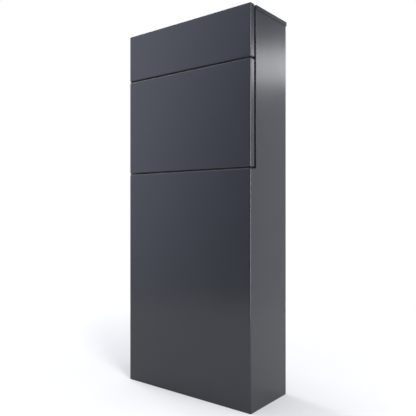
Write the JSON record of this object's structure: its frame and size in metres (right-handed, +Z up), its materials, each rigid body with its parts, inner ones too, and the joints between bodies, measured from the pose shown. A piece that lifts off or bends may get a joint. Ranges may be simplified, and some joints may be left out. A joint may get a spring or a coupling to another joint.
{
  "type": "pedestal letterbox",
  "caption": "Free-standing sheet-steel letterbox: a slim pedestal column with a top-hinged letter flap above a side-hinged collection door and a flat lipped roof.",
  "frame": {"origin": "on the floor, under the middle of the column's overall box", "axes": "+Z up the column; the flap and door face -Y; +X to the right seen from the front, the lock's side"},
  "size_m": [0.487, 0.2, 1.15],
  "materials": {
    "powder_coat": "anthracite powder coat with a fine texture, satin",
    "zinc": "zinc plated, dull",
    "chrome": "bright plated lock",
    "rubber": "matt black",
    "plastic": "moulded, matt black"
  },
  "bodies": {
    "cabinet": {"casing": "powder_coat", "back_panel": "powder_coat", "roof": "powder_coat", "header_plate": "powder_coat", "slot_trim": "plastic", "mail_chute": "powder_coat", "compartment_floor": "powder_coat", "pedestal_brace": "zinc", "base_plate": "zinc", "base_frame": "zinc", "anchor_pad_front_left": "zinc", "anchor_pad_front_right": "zinc", "anchor_pad_rear_left": "zinc", "anchor_pad_rear_right": "zinc", "back_rivet_left_1": "zinc", "back_rivet_left_2": "zinc", "back_rivet_left_3": "zinc", "back_rivet_left_4": "zinc", "back_rivet_left_5": "zinc", "back_rivet_right_1": "zinc", "back_rivet_right_2": "zinc", "back_rivet_right_3": "zinc", "back_rivet_right_4": "zinc", "back_rivet_right_5": "zinc", "roof_rivet_left": "zinc", "roof_rivet_middle": "zinc", "roof_rivet_right": "zinc", "base_screw_left": "zinc", "base_screw_middle": "zinc", "base_screw_right": "zinc", "door_hinge_upper_frame_leaf": "zinc", "door_hinge_lower_frame_leaf": "zinc", "flap_hinge_left_frame_leaf": "zinc", "flap_hinge_right_frame_leaf": "zinc", "door_hinge_upper_pin": "zinc", "door_hinge_lower_pin": "zinc", "flap_hinge_left_pin": "zinc", "flap_hinge_right_pin": "zinc", "lock_housing": "chrome", "lock_nut": "chrome", "door_buffer_sill_left": "rubber", "door_buffer_sill_right": "rubber", "door_buffer_side_low": "rubber", "door_buffer_side_high": "rubber", "flap_buffer_left": "rubber", "flap_buffer_right": "rubber", "ledge_seal": "rubber"},
    "door": {"door_panel": "powder_coat", "door_stiffener": "zinc", "door_catch": "zinc", "door_seal": "rubber", "door_hinge_upper_door_leaf": "zinc", "door_hinge_lower_door_leaf": "zinc"},
    "flap": {"flap_panel": "powder_coat", "flap_hinge_left_flap_leaf": "zinc", "flap_hinge_right_flap_leaf": "zinc"},
    "lock_rotor": {"lock_plug": "chrome", "lock_cam": "chrome", "lock_cam_screw": "chrome"}
  },
  "joints": [
    {"name": "door_hinge", "type": "hinge", "parent": "cabinet", "child": "door", "pos_m": [-0.2385, -0.07625, 0.84288], "axis": [0, 0, -1], "range_deg": [0, 105]},
    {"name": "flap_hinge", "type": "hinge", "parent": "cabinet", "child": "flap", "pos_m": [0, -0.07625, 1.1465], "axis": [-1, 0, 0], "range_deg": [0, 90]},
    {"name": "lock_turn", "type": "hinge", "parent": "cabinet", "child": "lock_rotor", "pos_m": [0.165, -0.071, 1.012], "axis": [0, 1, 0], "range_deg": [0, 90]}
  ]
}
